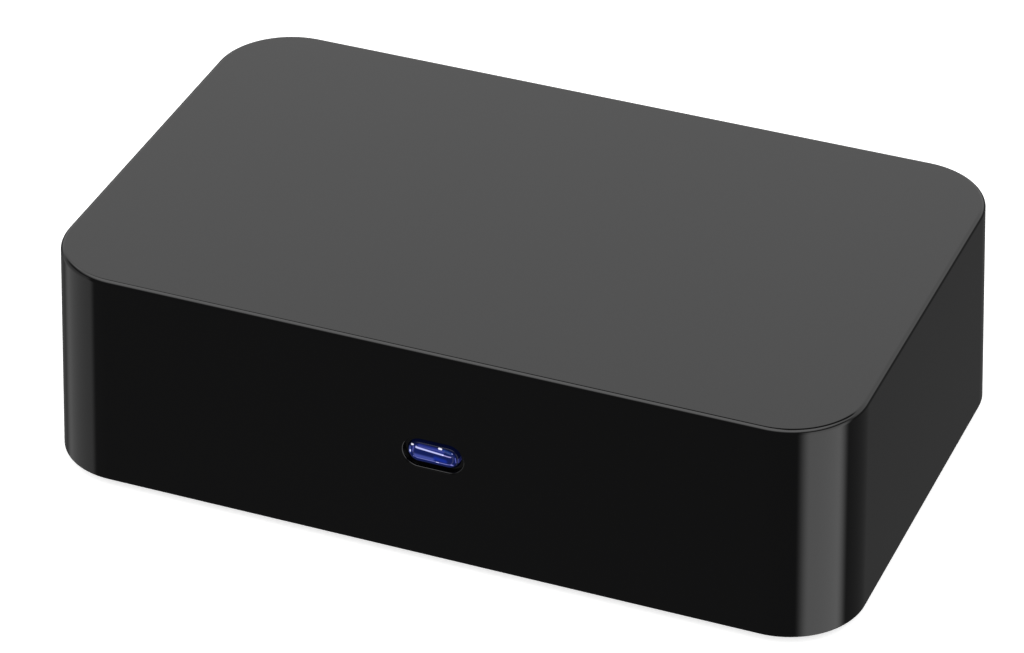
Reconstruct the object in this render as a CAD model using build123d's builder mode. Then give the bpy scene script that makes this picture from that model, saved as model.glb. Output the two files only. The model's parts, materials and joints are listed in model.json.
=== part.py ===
"""Streaming media player: a small glossy box with a lit standby button and a recessed rear socket panel.

Frame: +Z up, front towards -Y, origin at the centre of the footprint on the surface the feet rest on.
"""
import os
from math import radians, tan

from build123d import *

os.makedirs("parts", exist_ok=True)

# ---------------------------------------------------------------- driving dimensions (millimetres)
TOP_W = 120.0  # plan size of the housing where its walls would meet its flat top
TOP_D = 73.5
CORNER_R = 11.4
HOUSING_H = 33.5
DRAFT = 1.65  # degrees: the walls stand out towards the foot, so that the moulding leaves its tool
WALL = 2.2
TOP_ROUND = 0.7
RIM_ROUND = 0.2
LIP_ROUND = 0.25
BAY_ROUND = 0.6
RIM_Z = 1.2  # the feet hold the housing's rim this far off the table

PLATE_BOTTOM = RIM_Z + 0.4
PLATE_T = 2.0
PLATE_GAP = 0.15
PLATE_EDGE_ROUND = 0.3
FOOT_R = 5.0
FOOT_SINK = 0.5
FOOT_ROUND = 0.4
FOOT_SPREAD = (84.0, 54.0)
SCREW_SPREAD = (105.0, 58.4)
SCREW_PAD_R, SCREW_PAD_H = 3.7, 2.0
SCREW_HEAD_SEAT_R, SCREW_HOLE_R = 2.5, 1.3
BOSS_R, PILOT_R, PILOT_DEPTH = 3.0, 1.0, 14.0

BOARD_BOTTOM = 7.0
BOARD_T = 1.2
BOARD_X = 49.0
BOARD_FRONT = -25.0
BOARD_REAR = 32.5
STANDOFFS = [(-46.0, -21.5), (46.0, -21.5), (-46.0, 14.0), (46.0, 14.0)]
STANDOFF_R, STANDOFF_PILOT_R, STANDOFF_FLOOR = 2.5, 0.8, 0.4

BUTTON_X = 1.0
BUTTON_Z = RIM_Z + 16.95
LENS_W, LENS_H = 7.7, 3.3
DISH_W, DISH_H, DISH_DEPTH = 9.1, 4.6, 0.7
RUNNING_GAP = 0.2

FRONT_BOARD_Y = -29.0  # rear face of the upright front board, against its posts
POST_W, POST_D, POST_H = 5.0, 3.5, 21.0
POST_SPREAD = 28.0
POST_SCREW_Z = 22.0

RIB_X, RIB_W, RIB_L, RIB_H = -55.1, 2.6, 20.0, 3.9  # holds the antenna board on edge in its slot
ANTENNA_T, ANTENNA_L, ANTENNA_H = 0.6, 24.0, 17.0
ANTENNA_BOTTOM = PLATE_BOTTOM + PLATE_T + 1.4

PANEL_FACE = 34.6  # y of the socket panel's outer face
PANEL_T = 1.4
PANEL_W = 97.6
PANEL_TOP = 29.3
PANEL_SINK = 1.0  # the panel's foot stands this deep in the base plate's groove
FRAME_H, FRAME_T = 25.2, 1.5
FRAME_Z = 16.8
BAY_W, BAY_H, BAY_Z, BAY_CORNER = 93.6, 22.0, 16.5, 2.0
PORT_FACE = PANEL_FACE + 0.3  # y of the sockets' mouths
PORT_GAP = 0.25

# ---------------------------------------------------------------- values worked out from them
SLOPE = tan(radians(DRAFT))
BASE_W = TOP_W + 2 * HOUSING_H * SLOPE
BASE_D = TOP_D + 2 * HOUSING_H * SLOPE
PLATE_TOP = PLATE_BOTTOM + PLATE_T
BOARD_TOP = BOARD_BOTTOM + BOARD_T
ROOF_UNDER = RIM_Z + HOUSING_H - WALL
PANEL_INNER = PANEL_FACE - PANEL_T
SCREW_SEAT = PLATE_TOP + 0.2
PLATE_INSET = WALL + PLATE_GAP
POST_SPOTS = [(BUTTON_X + side * POST_SPREAD / 2, POST_SCREW_Z) for side in (-1, 1)]

UP = (Align.CENTER, Align.CENTER, Align.MIN)
INWARD = (Align.CENTER, Align.MAX, Align.MIN)  # rear face on the given y, standing on the given z
SCREW_SPOTS = [(sx * SCREW_SPREAD[0] / 2, sy * SCREW_SPREAD[1] / 2) for sx in (-1, 1) for sy in (-1, 1)]
FOOT_SPOTS = {
    "foot_front_left": (-FOOT_SPREAD[0] / 2, -FOOT_SPREAD[1] / 2),
    "foot_front_right": (FOOT_SPREAD[0] / 2, -FOOT_SPREAD[1] / 2),
    "foot_rear_left": (-FOOT_SPREAD[0] / 2, FOOT_SPREAD[1] / 2),
    "foot_rear_right": (FOOT_SPREAD[0] / 2, FOOT_SPREAD[1] / 2),
}


def upright(y):
    """The upright plane at the given y: local x is +X, local y is +Z, and extrude goes towards the front."""
    return Plane.XZ.offset(-y)


def wall_y(z):
    """Distance of the housing's outer front or rear face from the middle, at height z."""
    return BASE_D / 2 - (z - RIM_Z) * SLOPE


def keep(piece, name):
    """Label a finished piece and write its STEP file."""
    piece.part.label = name
    export_step(piece.part, f"parts/{name}.step")


# ---------------------------------------------------------------- casing
with BuildPart() as upper_housing:
    with BuildSketch(Plane.XY.offset(RIM_Z)):
        Rectangle(BASE_W, BASE_D)
    extrude(amount=HOUSING_H, taper=DRAFT)
    corners = upper_housing.edges().sort_by(Axis.Z)[4:8]
    fillet(corners, radius=CORNER_R)
    offset(amount=-WALL, openings=upper_housing.faces().sort_by(Axis.Z)[0])
    fillet(upper_housing.faces().sort_by(Axis.Z)[-1].edges(), radius=TOP_ROUND)
    fillet(upper_housing.faces().sort_by(Axis.Z)[0].outer_wire().edges(), radius=RIM_ROUND)
    # flat frame inside the rear wall, which the socket panel seats against
    with BuildSketch(upright(PANEL_FACE)):
        with Locations((0, FRAME_Z)):
            Rectangle(PANEL_W, FRAME_H)
    extrude(amount=-FRAME_T)
    # screw bosses, from the roof down to the base plate's pads
    with Locations([(x, y, PLATE_TOP + SCREW_PAD_H) for x, y in SCREW_SPOTS]):
        Cylinder(BOSS_R, ROOF_UNDER - PLATE_TOP - SCREW_PAD_H, align=UP)
        Cylinder(PILOT_R, PILOT_DEPTH, align=UP, mode=Mode.SUBTRACT)
    # bay in the rear wall through which the sockets are reached
    with BuildSketch(upright(PANEL_FACE - 1.0)):
        with Locations((0, BAY_Z)):
            RectangleRounded(BAY_W, BAY_H, BAY_CORNER)
    extrude(amount=-6.0, mode=Mode.SUBTRACT)
    # button opening and the shallow dish around it
    with BuildSketch(upright(-PANEL_FACE + 2.0)):
        with Locations((BUTTON_X, BUTTON_Z)):
            SlotOverall(LENS_W + 2 * RUNNING_GAP, LENS_H + 2 * RUNNING_GAP)
    extrude(amount=8.0, mode=Mode.SUBTRACT)
    with BuildSketch(upright(-wall_y(BUTTON_Z) + DISH_DEPTH)):
        with Locations((BUTTON_X, BUTTON_Z)):
            SlotOverall(DISH_W, DISH_H)
    extrude(amount=3.0, mode=Mode.SUBTRACT)
    # the openings' outer edges are rounded
    walls = upper_housing.faces().filter_by(GeomType.PLANE).sort_by(Axis.Y)
    fillet(walls[0].inner_wires()[0].edges(), radius=LIP_ROUND)
    walls = upper_housing.faces().filter_by(GeomType.PLANE).sort_by(Axis.Y)
    fillet(walls[-1].inner_wires()[0].edges(), radius=BAY_ROUND)
keep(upper_housing, "upper_housing")

with BuildPart() as base_plate:
    with BuildSketch(Plane.XY.offset(PLATE_BOTTOM)):
        inset = PLATE_INSET + (PLATE_TOP - RIM_Z) * SLOPE
        RectangleRounded(BASE_W - 2 * inset, BASE_D - 2 * inset, CORNER_R - PLATE_INSET)
    extrude(amount=PLATE_T)
    fillet(base_plate.faces().sort_by(Axis.Z)[0].edges(), radius=PLATE_EDGE_ROUND)
    # pads that carry the housing's screws, with a sunk seat for each head
    with Locations([(x, y, PLATE_TOP) for x, y in SCREW_SPOTS]):
        Cylinder(SCREW_PAD_R, SCREW_PAD_H, align=UP)
    with Locations([(x, y, PLATE_BOTTOM) for x, y in SCREW_SPOTS]):
        Cylinder(SCREW_HEAD_SEAT_R, SCREW_SEAT - PLATE_BOTTOM, align=UP, mode=Mode.SUBTRACT)
        Cylinder(SCREW_HOLE_R, PLATE_T + SCREW_PAD_H, align=UP, mode=Mode.SUBTRACT)
    # standoffs for the main board
    with Locations([(x, y, PLATE_TOP) for x, y in STANDOFFS]):
        Cylinder(STANDOFF_R, BOARD_BOTTOM - PLATE_TOP, align=UP)
    with Locations([(x, y, PLATE_TOP + STANDOFF_FLOOR) for x, y in STANDOFFS]):
        Cylinder(STANDOFF_PILOT_R, BOARD_BOTTOM - PLATE_TOP, align=UP, mode=Mode.SUBTRACT)
    # posts for the upright front board
    with Locations([(x, FRONT_BOARD_Y + POST_D, PLATE_TOP) for x, _ in POST_SPOTS]):
        Box(POST_W, POST_D, POST_H, align=INWARD)
    with BuildSketch(upright(FRONT_BOARD_Y + POST_D - STANDOFF_FLOOR)):
        with Locations(POST_SPOTS):
            Circle(STANDOFF_PILOT_R)
    extrude(amount=POST_D - STANDOFF_FLOOR, mode=Mode.SUBTRACT)
    # slotted rib that holds the antenna board
    with Locations((RIB_X, 0, PLATE_TOP)):
        Box(RIB_W, RIB_L, RIB_H, align=UP)
    with Locations((RIB_X, 0, ANTENNA_BOTTOM)):
        Box(ANTENNA_T, ANTENNA_L, ANTENNA_H, align=UP, mode=Mode.SUBTRACT)
    # groove for the socket panel's foot
    with Locations((0, PANEL_FACE, PLATE_TOP - PANEL_SINK)):
        Box(PANEL_W, PANEL_T, 2 * PANEL_SINK, align=INWARD, mode=Mode.SUBTRACT)
    # sunk seats for the feet, cooling slots and a blank label recess
    with BuildSketch(Plane.XY.offset(PLATE_BOTTOM)):
        with Locations(*FOOT_SPOTS.values()):
            Circle(FOOT_R + 0.1)
    extrude(amount=FOOT_SINK, mode=Mode.SUBTRACT)
    with BuildSketch(Plane.XY.offset(PLATE_BOTTOM)):
        with GridLocations(5.0, 32.0, 12, 2):
            SlotOverall(14.0, 1.8, rotation=90)
    extrude(amount=PLATE_T, mode=Mode.SUBTRACT)
    with BuildSketch(Plane.XY.offset(PLATE_BOTTOM)):
        RectangleRounded(64.0, 14.0, 1.0)
    extrude(amount=0.2, mode=Mode.SUBTRACT)
keep(base_plate, "base_plate")

for foot_name, (foot_x, foot_y) in FOOT_SPOTS.items():
    with BuildPart() as foot:
        with Locations((foot_x, foot_y, 0)):
            Cylinder(FOOT_R, PLATE_BOTTOM + FOOT_SINK, align=UP)
        fillet(foot.faces().sort_by(Axis.Z)[0].edges(), radius=FOOT_ROUND)
    keep(foot, foot_name)


def pan_screw(head_r, head_h, shank_r, shank_l, seat, spots, head_up):
    """Add cross-recessed screws at spots, each head above its seat if head_up, else below it."""
    turn = 0 if head_up else 180
    for x, y in spots:
        with Locations(Location((x, y, seat), (turn, 0, 0))):
            Cylinder(head_r, head_h, align=UP)
            Cylinder(shank_r, shank_l, align=(Align.CENTER, Align.CENTER, Align.MAX))
        with Locations(Location((x, y, seat), (turn, 0, 0)) * Location((0, 0, head_h - 0.7))):
            Box(0.5, 1.3 * head_r, 1.0, align=UP, mode=Mode.SUBTRACT)
            Box(1.3 * head_r, 0.5, 1.0, align=UP, mode=Mode.SUBTRACT)


with BuildPart() as housing_screws:
    pan_screw(2.2, 1.5, 0.95, 10.0, SCREW_SEAT, SCREW_SPOTS, head_up=False)
keep(housing_screws, "housing_screws")

# ---------------------------------------------------------------- rear socket positions (x of each centre)
POWER_X, VIDEO_X, RESET_X, NETWORK_X, DATA_X, OPTICAL_X, AV_X = 40.0, 24.5, 13.5, 2.0, -16.0, -31.0, -42.0
POWER_W, POWER_H = 9.0, 10.8
VIDEO_W, VIDEO_H = 14.9, 5.6
NETWORK_W, NETWORK_H = 16.0, 13.4
DATA_W, DATA_H = 13.2, 13.8
OPTICAL_W, OPTICAL_H = 9.7, 10.4
AV_W, AV_H = 7.2, 6.6
AV_NOSE_R = 3.0
RESET_Z = BOARD_TOP + 2.2
RESET_HOLE_R, RESET_PLUNGER_R = 0.9, 0.7

with BuildPart() as rear_panel:
    with Locations((0, PANEL_FACE, PLATE_TOP - PANEL_SINK)):
        Box(PANEL_W, PANEL_T, PANEL_TOP - PLATE_TOP + PANEL_SINK, align=INWARD)
    with BuildSketch(upright(PANEL_FACE)):
        for x, w, h in (
            (POWER_X, POWER_W, POWER_H),
            (VIDEO_X, VIDEO_W, VIDEO_H),
            (NETWORK_X, NETWORK_W, NETWORK_H),
            (DATA_X, DATA_W, DATA_H),
            (OPTICAL_X, OPTICAL_W, OPTICAL_H),
        ):
            with Locations((x, BOARD_TOP + h / 2)):
                RectangleRounded(w + 2 * PORT_GAP, h + 2 * PORT_GAP, 0.4)
        with Locations((AV_X, BOARD_TOP + AV_H / 2)):
            Circle(AV_NOSE_R + PORT_GAP)
        with Locations((RESET_X, RESET_Z)):
            Circle(RESET_HOLE_R)
    extrude(amount=PANEL_T, mode=Mode.SUBTRACT)
    # row of cooling slots above the sockets
    with BuildSketch(upright(PANEL_FACE)):
        with Locations((0, 25.2)):
            with GridLocations(6.0, 1.0, 14, 1):
                SlotOverall(4.6, 1.4)
    extrude(amount=PANEL_T, mode=Mode.SUBTRACT)
keep(rear_panel, "rear_panel")

# ---------------------------------------------------------------- main board and what stands on it
PROCESSOR_AT = (4.0, -4.0)
SINK_SIDE, SINK_BASE, SINK_H = 28.0, 2.2, 9.0
PIN_OFFSET = 10.5
SINK_PINS = [(PROCESSOR_AT[0] + side * PIN_OFFSET, PROCESSOR_AT[1] + side * PIN_OFFSET) for side in (-1, 1)]
PROCESSOR_T, PAD_T = 1.5, 0.5
SINK_Z = BOARD_TOP + PROCESSOR_T + PAD_T

with BuildPart() as main_board:
    with BuildSketch(Plane.XY.offset(BOARD_BOTTOM)):
        with Locations((0, (BOARD_FRONT + BOARD_REAR) / 2)):
            RectangleRounded(2 * BOARD_X, BOARD_REAR - BOARD_FRONT, 1.5)
        with Locations(*STANDOFFS):
            Circle(1.2, mode=Mode.SUBTRACT)
        with Locations(*SINK_PINS):
            Circle(1.3, mode=Mode.SUBTRACT)
    extrude(amount=BOARD_T)
keep(main_board, "main_board")

with BuildPart() as board_screws:
    pan_screw(2.1, 1.3, 0.75, 3.6, BOARD_TOP, STANDOFFS, head_up=True)
keep(board_screws, "board_screws")


def flat_package(name, at, length, width, height, z=BOARD_TOP, edge=0.2):
    """A moulded or canned package with bevelled top edges, standing on the board."""
    with BuildPart() as package:
        with Locations((at[0], at[1], z)):
            Box(length, width, height, align=UP)
        chamfer(package.faces().sort_by(Axis.Z)[-1].edges(), edge)
    keep(package, name)


flat_package("processor", PROCESSOR_AT, 17.0, 17.0, PROCESSOR_T)
flat_package("thermal_pad", PROCESSOR_AT, 16.0, 16.0, PAD_T, z=BOARD_TOP + PROCESSOR_T, edge=0.1)
flat_package("memory_chip_1", (28.5, -13.0), 9.0, 13.0, 1.1)
flat_package("memory_chip_2", (28.5, 2.0), 9.0, 13.0, 1.1)
flat_package("flash_chip", (-20.5, 4.0), 14.0, 12.0, 1.0)
flat_package("network_transformer", (NETWORK_X, 14.5), 15.0, 6.5, 5.0, edge=0.3)
flat_package("wireless_module", (-33.0, -12.0), 18.0, 15.0, 0.8)
flat_package("wireless_shield", (-31.2, -12.0), 13.0, 13.0, 1.8, z=BOARD_TOP + 0.8)

with BuildPart() as crystal:
    with BuildSketch(Plane.XY.offset(BOARD_TOP)):
        with Locations((-18.0, -8.0)):
            SlotOverall(11.0, 4.6)
    extrude(amount=0.5)
    with BuildSketch(Plane.XY.offset(BOARD_TOP + 0.5)):
        with Locations((-18.0, -8.0)):
            SlotOverall(10.2, 3.8)
    extrude(amount=3.0)
    fillet(crystal.faces().sort_by(Axis.Z)[-1].edges(), radius=0.4)
keep(crystal, "crystal")

CAPACITOR_SPOTS = [(32.5, 15.0), (40.0, 14.8), (40.0, -5.0)]
with BuildPart() as capacitors:
    with Locations([(x, y, BOARD_TOP) for x, y in CAPACITOR_SPOTS]):
        Box(6.6, 6.6, 0.6, align=UP)
    with Locations([(x, y, BOARD_TOP + 0.6) for x, y in CAPACITOR_SPOTS]):
        Cylinder(3.15, 6.8, align=UP)
    fillet(capacitors.faces().group_by(Axis.Z)[-1].edges(), radius=0.4)
keep(capacitors, "capacitors")

with BuildPart() as power_inductors:
    with Locations((24.0, 15.5, BOARD_TOP), (40.0, 4.5, BOARD_TOP)):
        Box(7.0, 7.0, 4.0, align=UP)
    chamfer(power_inductors.faces().group_by(Axis.Z)[-1].edges(), 0.6)
keep(power_inductors, "power_inductors")

with BuildPart() as heat_sink:
    with Locations((*PROCESSOR_AT, SINK_Z)):
        Box(SINK_SIDE, SINK_SIDE, SINK_H, align=UP)
    with Locations((*PROCESSOR_AT, SINK_Z + SINK_BASE)):
        with GridLocations(3.2, 1.0, 8, 1):
            Box(2.0, SINK_SIDE + 1.0, SINK_H, align=UP, mode=Mode.SUBTRACT)
    with Locations([(x, y, SINK_Z + SINK_BASE) for x, y in SINK_PINS]):
        Cylinder(3.2, SINK_H, align=UP, mode=Mode.SUBTRACT)
    with Locations([(x, y, SINK_Z) for x, y in SINK_PINS]):
        Cylinder(1.3, SINK_BASE, align=UP, mode=Mode.SUBTRACT)
keep(heat_sink, "heat_sink")

with BuildPart() as heat_sink_pins:
    with Locations([(x, y, SINK_Z + SINK_BASE) for x, y in SINK_PINS]):
        Cylinder(2.6, 1.2, align=UP)
        Cylinder(1.1, SINK_Z + SINK_BASE - BOARD_BOTTOM + 1.6, align=(Align.CENTER, Align.CENTER, Align.MAX))
    with Locations([(x, y, BOARD_BOTTOM - 1.6) for x, y in SINK_PINS]):
        Cone(0.7, 1.7, 1.4, align=UP)
keep(heat_sink_pins, "heat_sink_pins")

# ---------------------------------------------------------------- front board, button, infrared receiver
FRONT_BOARD_T = 1.0
FRONT_BOARD_FACE = FRONT_BOARD_Y - FRONT_BOARD_T
SWITCH_D = 3.1
FLANGE_REAR = -34.1
FLANGE_T = 0.8
PLUNGER_R = 1.6
LENS_PROUD = 0.25

with BuildPart() as front_board:
    with BuildSketch(upright(FRONT_BOARD_Y)):
        with Locations((BUTTON_X, 18.0)):
            RectangleRounded(34.0, 16.5, 1.0)
        with Locations(POST_SPOTS):
            Circle(1.2, mode=Mode.SUBTRACT)
    extrude(amount=FRONT_BOARD_T)
keep(front_board, "front_board")

with BuildPart() as front_board_screws:
    for spot in POST_SPOTS:
        with BuildSketch(upright(FRONT_BOARD_FACE)):
            with Locations(spot):
                Circle(1.9)
        extrude(amount=1.2)
        with BuildSketch(upright(FRONT_BOARD_FACE)):
            with Locations(spot):
                Circle(0.75)
        extrude(amount=-3.6)
    with BuildSketch(upright(FRONT_BOARD_FACE - 0.6)):
        with Locations(POST_SPOTS):
            Rectangle(0.5, 2.6)
            Rectangle(2.6, 0.5)
    extrude(amount=1.0, mode=Mode.SUBTRACT)
keep(front_board_screws, "front_board_screws")

with BuildPart() as switch_body:
    with BuildSketch(upright(FRONT_BOARD_FACE)):
        with Locations((BUTTON_X, BUTTON_Z)):
            Rectangle(6.2, 6.2)
    extrude(amount=SWITCH_D)
    chamfer(switch_body.edges().filter_by(Axis.Y), 0.5)
    with BuildSketch(upright(FRONT_BOARD_FACE - SWITCH_D + 1.5)):
        with Locations((BUTTON_X, BUTTON_Z)):
            Circle(PLUNGER_R + 0.1)
    extrude(amount=2.0, mode=Mode.SUBTRACT)
keep(switch_body, "switch_body")

with BuildPart() as switch_plunger:
    with BuildSketch(upright(FLANGE_REAR)):
        with Locations((BUTTON_X, BUTTON_Z)):
            Circle(PLUNGER_R)
    extrude(amount=-1.6)
keep(switch_plunger, "switch_plunger")

with BuildPart() as button_lens:
    with BuildSketch(upright(FLANGE_REAR - FLANGE_T)):
        with Locations((BUTTON_X, BUTTON_Z)):
            SlotOverall(LENS_W, LENS_H)
    extrude(amount=wall_y(BUTTON_Z) + LENS_PROUD - abs(FLANGE_REAR - FLANGE_T))
    fillet(button_lens.faces().sort_by(Axis.Y)[0].edges(), radius=1.3)
    with BuildSketch(upright(FLANGE_REAR)):
        with Locations((BUTTON_X, BUTTON_Z)):
            SlotOverall(LENS_W + 2.5, LENS_H + 2.5)
    extrude(amount=FLANGE_T)
keep(button_lens, "button_lens")

for number, led_x in enumerate((BUTTON_X - 4.4, BUTTON_X + 4.4), start=1):
    with BuildPart() as indicator_led:
        with BuildSketch(upright(FRONT_BOARD_FACE)):
            with Locations((led_x, BUTTON_Z)):
                Rectangle(1.6, 2.8)
        extrude(amount=0.9)
        with BuildSketch(upright(FRONT_BOARD_FACE - 0.9)):
            with Locations((led_x, BUTTON_Z)):
                Circle(0.6)
        extrude(amount=0.3)
    keep(indicator_led, f"indicator_led_{number}")

with BuildPart() as infrared_receiver:
    with BuildSketch(upright(FRONT_BOARD_FACE)):
        with Locations((BUTTON_X + 9.5, 16.0)):
            Rectangle(5.4, 6.4)
    extrude(amount=2.2)
    with BuildSketch(upright(FRONT_BOARD_FACE - 2.2)):
        with Locations((BUTTON_X + 9.5, 16.4)):
            Circle(2.1)
    extrude(amount=1.4)
    fillet(infrared_receiver.faces().sort_by(Axis.Y)[0].edges(), radius=1.2)
keep(infrared_receiver, "infrared_receiver")

# ---------------------------------------------------------------- ribbon cable between the two boards
RIBBON_Y, RIBBON_Z = -20.2, 13.4
with BuildPart() as board_connector:
    with Locations((BUTTON_X, RIBBON_Y, BOARD_TOP)):
        Box(10.5, 2.0, 2.2, align=UP)
keep(board_connector, "board_connector")

with BuildPart() as front_board_connector:
    with BuildSketch(upright(FRONT_BOARD_Y)):
        with Locations((BUTTON_X, RIBBON_Z)):
            Rectangle(10.5, 2.4)
    extrude(amount=-2.4)
keep(front_board_connector, "front_board_connector")

with BuildPart() as ribbon_cable:
    with BuildLine() as ribbon_path:
        FilletPolyline(
            (BUTTON_X, RIBBON_Y, BOARD_TOP + 2.2),
            (BUTTON_X, RIBBON_Y, RIBBON_Z),
            (BUTTON_X, FRONT_BOARD_Y + 2.4, RIBBON_Z),
            radius=2.4,
        )
    with BuildSketch(Plane.XY.offset(BOARD_TOP + 2.2)):
        with Locations((BUTTON_X, RIBBON_Y)):
            Rectangle(8.5, 0.3)
    sweep(path=ribbon_path.wire())
keep(ribbon_cable, "ribbon_cable")

# ---------------------------------------------------------------- antenna, its lead and plug
ANTENNA_FACE = RIB_X + ANTENNA_T / 2
LEAD_R = 0.55
PLUG_AT = (-40.4, -12.0, BOARD_TOP + 0.8)
PLUG_BARREL_Z = PLUG_AT[2] + 0.8

with BuildPart() as antenna_board:
    with Locations((RIB_X, 0, ANTENNA_BOTTOM)):
        Box(ANTENNA_T, ANTENNA_L, ANTENNA_H, align=UP)
keep(antenna_board, "antenna_board")

with BuildPart() as antenna_plug:
    with Locations(PLUG_AT):
        Cylinder(1.3, 1.4, align=UP)
    with BuildSketch(Plane.YZ.offset(PLUG_AT[0] - 2.8)):
        with Locations((PLUG_AT[1], PLUG_BARREL_Z)):
            Circle(0.75)
    extrude(amount=2.8)
keep(antenna_plug, "antenna_plug")

LEAD_ROUTE = [
    Vector(PLUG_AT[0] - 2.8, PLUG_AT[1], PLUG_BARREL_Z),
    Vector(-46.4, -12.0, PLUG_BARREL_Z),
    Vector(-50.2, -9.6, 12.6),
    Vector(-51.2, -4.2, 15.2),
    Vector(-51.6, -1.0, 16.0),
    Vector(ANTENNA_FACE, -1.0, 16.0),
]


def bend_radii(route):
    """The largest tangent arc that each corner's shorter run allows, using 0.45 of that run."""
    radii = []
    for before, corner, after in zip(route, route[1:], route[2:]):
        arrive, leave = corner - before, after - corner
        turn = radians(arrive.get_angle(leave))
        radii.append(0.45 * min(arrive.length, leave.length) / tan(turn / 2))
    return radii


LEAD_RADII = bend_radii(LEAD_ROUTE)
print("antenna lead bend radii:", [round(r, 2) for r in LEAD_RADII])
with BuildPart() as antenna_lead:
    with BuildLine() as lead_path:
        FilletPolyline(*LEAD_ROUTE, radius=LEAD_RADII)
    with BuildSketch(Plane(origin=LEAD_ROUTE[0], z_dir=LEAD_ROUTE[1] - LEAD_ROUTE[0])):
        Circle(LEAD_R)
    sweep(path=lead_path.wire())
keep(antenna_lead, "antenna_lead")

# ---------------------------------------------------------------- reset switch, behind the panel's pinhole
with BuildPart() as reset_switch:
    with Locations((RESET_X, 31.5, BOARD_TOP)):
        Box(5.0, 4.5, 4.0, align=INWARD)
    with BuildSketch(upright(31.5)):
        with Locations((RESET_X, RESET_Z)):
            Circle(RESET_PLUNGER_R + 0.08)
    extrude(amount=2.3, mode=Mode.SUBTRACT)
keep(reset_switch, "reset_switch")

with BuildPart() as reset_plunger:
    with BuildSketch(upright(34.1)):
        with Locations((RESET_X, RESET_Z)):
            Circle(RESET_PLUNGER_R)
    extrude(amount=3.9)
    fillet(reset_plunger.faces().sort_by(Axis.Y)[-1].edges(), radius=0.3)
keep(reset_plunger, "reset_plunger")

# ---------------------------------------------------------------- video socket
VIDEO_DEPTH, VIDEO_SHEET = 11.5, 0.4
VIDEO_Z = BOARD_TOP + VIDEO_H / 2


def video_outline(shrink):
    """The socket's mouth: a flat rectangle whose two lower corners are cut off."""
    half_w, half_h, cut = VIDEO_W / 2 - shrink, VIDEO_H / 2 - shrink, 1.9
    with BuildLine(mode=Mode.PRIVATE) as outline:
        Polyline(
            (VIDEO_X - half_w, VIDEO_Z + half_h),
            (VIDEO_X + half_w, VIDEO_Z + half_h),
            (VIDEO_X + half_w, VIDEO_Z - half_h + cut),
            (VIDEO_X + half_w - cut, VIDEO_Z - half_h),
            (VIDEO_X - half_w + cut, VIDEO_Z - half_h),
            (VIDEO_X - half_w, VIDEO_Z - half_h + cut),
            close=True,
        )
    make_face(outline.edges())


with BuildPart() as video_port_shell:
    with BuildSketch(upright(PORT_FACE)):
        video_outline(0)
    extrude(amount=VIDEO_DEPTH)
    with BuildSketch(upright(PORT_FACE)):
        video_outline(VIDEO_SHEET)
    extrude(amount=VIDEO_DEPTH, mode=Mode.SUBTRACT)
keep(video_port_shell, "video_port_shell")

TONGUE_T = 1.0
TONGUE_Z = VIDEO_Z + 0.35
with BuildPart() as video_port_insert:
    with BuildSketch(upright(PORT_FACE - VIDEO_DEPTH + 2.5)):
        video_outline(VIDEO_SHEET)
    extrude(amount=2.5)
    with BuildSketch(upright(PORT_FACE - 1.2)):
        with Locations((VIDEO_X, TONGUE_Z)):
            Rectangle(11.2, TONGUE_T)
    extrude(amount=VIDEO_DEPTH - 2.0)
keep(video_port_insert, "video_port_insert")

with BuildPart() as video_port_contacts:
    for count, contact_z, stand in ((10, TONGUE_Z + TONGUE_T / 2, 1), (9, TONGUE_Z - TONGUE_T / 2, -1)):
        with BuildSketch(upright(PORT_FACE - 2.0)):
            with Locations((VIDEO_X, contact_z + stand * 0.06)):
                with GridLocations(1.0, 1.0, count, 1):
                    Rectangle(0.4, 0.12)
        extrude(amount=6.5)
keep(video_port_contacts, "video_port_contacts")

# ---------------------------------------------------------------- pair of data sockets, one above the other
DATA_DEPTH = 16.5
DATA_CAVITY = (12.5, 5.12)
DATA_LEVELS = (BOARD_TOP + 2.9, BOARD_TOP + 10.9)

with BuildPart() as data_port_shell:
    with Locations((DATA_X, PORT_FACE, BOARD_TOP)):
        Box(DATA_W, DATA_DEPTH, DATA_H, align=INWARD)
    with BuildSketch(upright(PORT_FACE)):
        with Locations([(DATA_X, level) for level in DATA_LEVELS]):
            RectangleRounded(*DATA_CAVITY, 0.4)
    extrude(amount=DATA_DEPTH - 0.4, mode=Mode.SUBTRACT)
keep(data_port_shell, "data_port_shell")

for place, level in zip(("lower", "upper"), DATA_LEVELS):
    with BuildPart() as data_port_tongue:
        with BuildSketch(upright(PORT_FACE - DATA_DEPTH + 4.4)):
            with Locations((DATA_X, level)):
                RectangleRounded(*DATA_CAVITY, 0.4)
        extrude(amount=4.0)
        with BuildSketch(upright(PORT_FACE - 1.6)):
            with Locations((DATA_X, level + 0.9)):
                Rectangle(11.1, 1.84)
        extrude(amount=DATA_DEPTH - 4.0)
    keep(data_port_tongue, f"data_port_tongue_{place}")

with BuildPart() as data_port_contacts:
    with BuildSketch(upright(PORT_FACE - 3.4)):
        for level in DATA_LEVELS:
            with Locations((DATA_X, level - 0.12)):
                with GridLocations(2.3, 1.0, 4, 1):
                    Rectangle(1.0, 0.2)
    extrude(amount=7.5)
keep(data_port_contacts, "data_port_contacts")

# ---------------------------------------------------------------- network socket
NETWORK_DEPTH, SHIELD_T = 16.0, 0.25
CAVITY_W, CAVITY_H, CAVITY_DEPTH = 11.8, 8.3, 12.5
CAVITY_FLOOR = BOARD_TOP + 1.7
LAMP_SIZE = (2.8, 2.0)
LAMP_Z = BOARD_TOP + 11.7
LAMP_SPOTS = {"network_lamp_left": NETWORK_X - 5.6, "network_lamp_right": NETWORK_X + 5.6}

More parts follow.
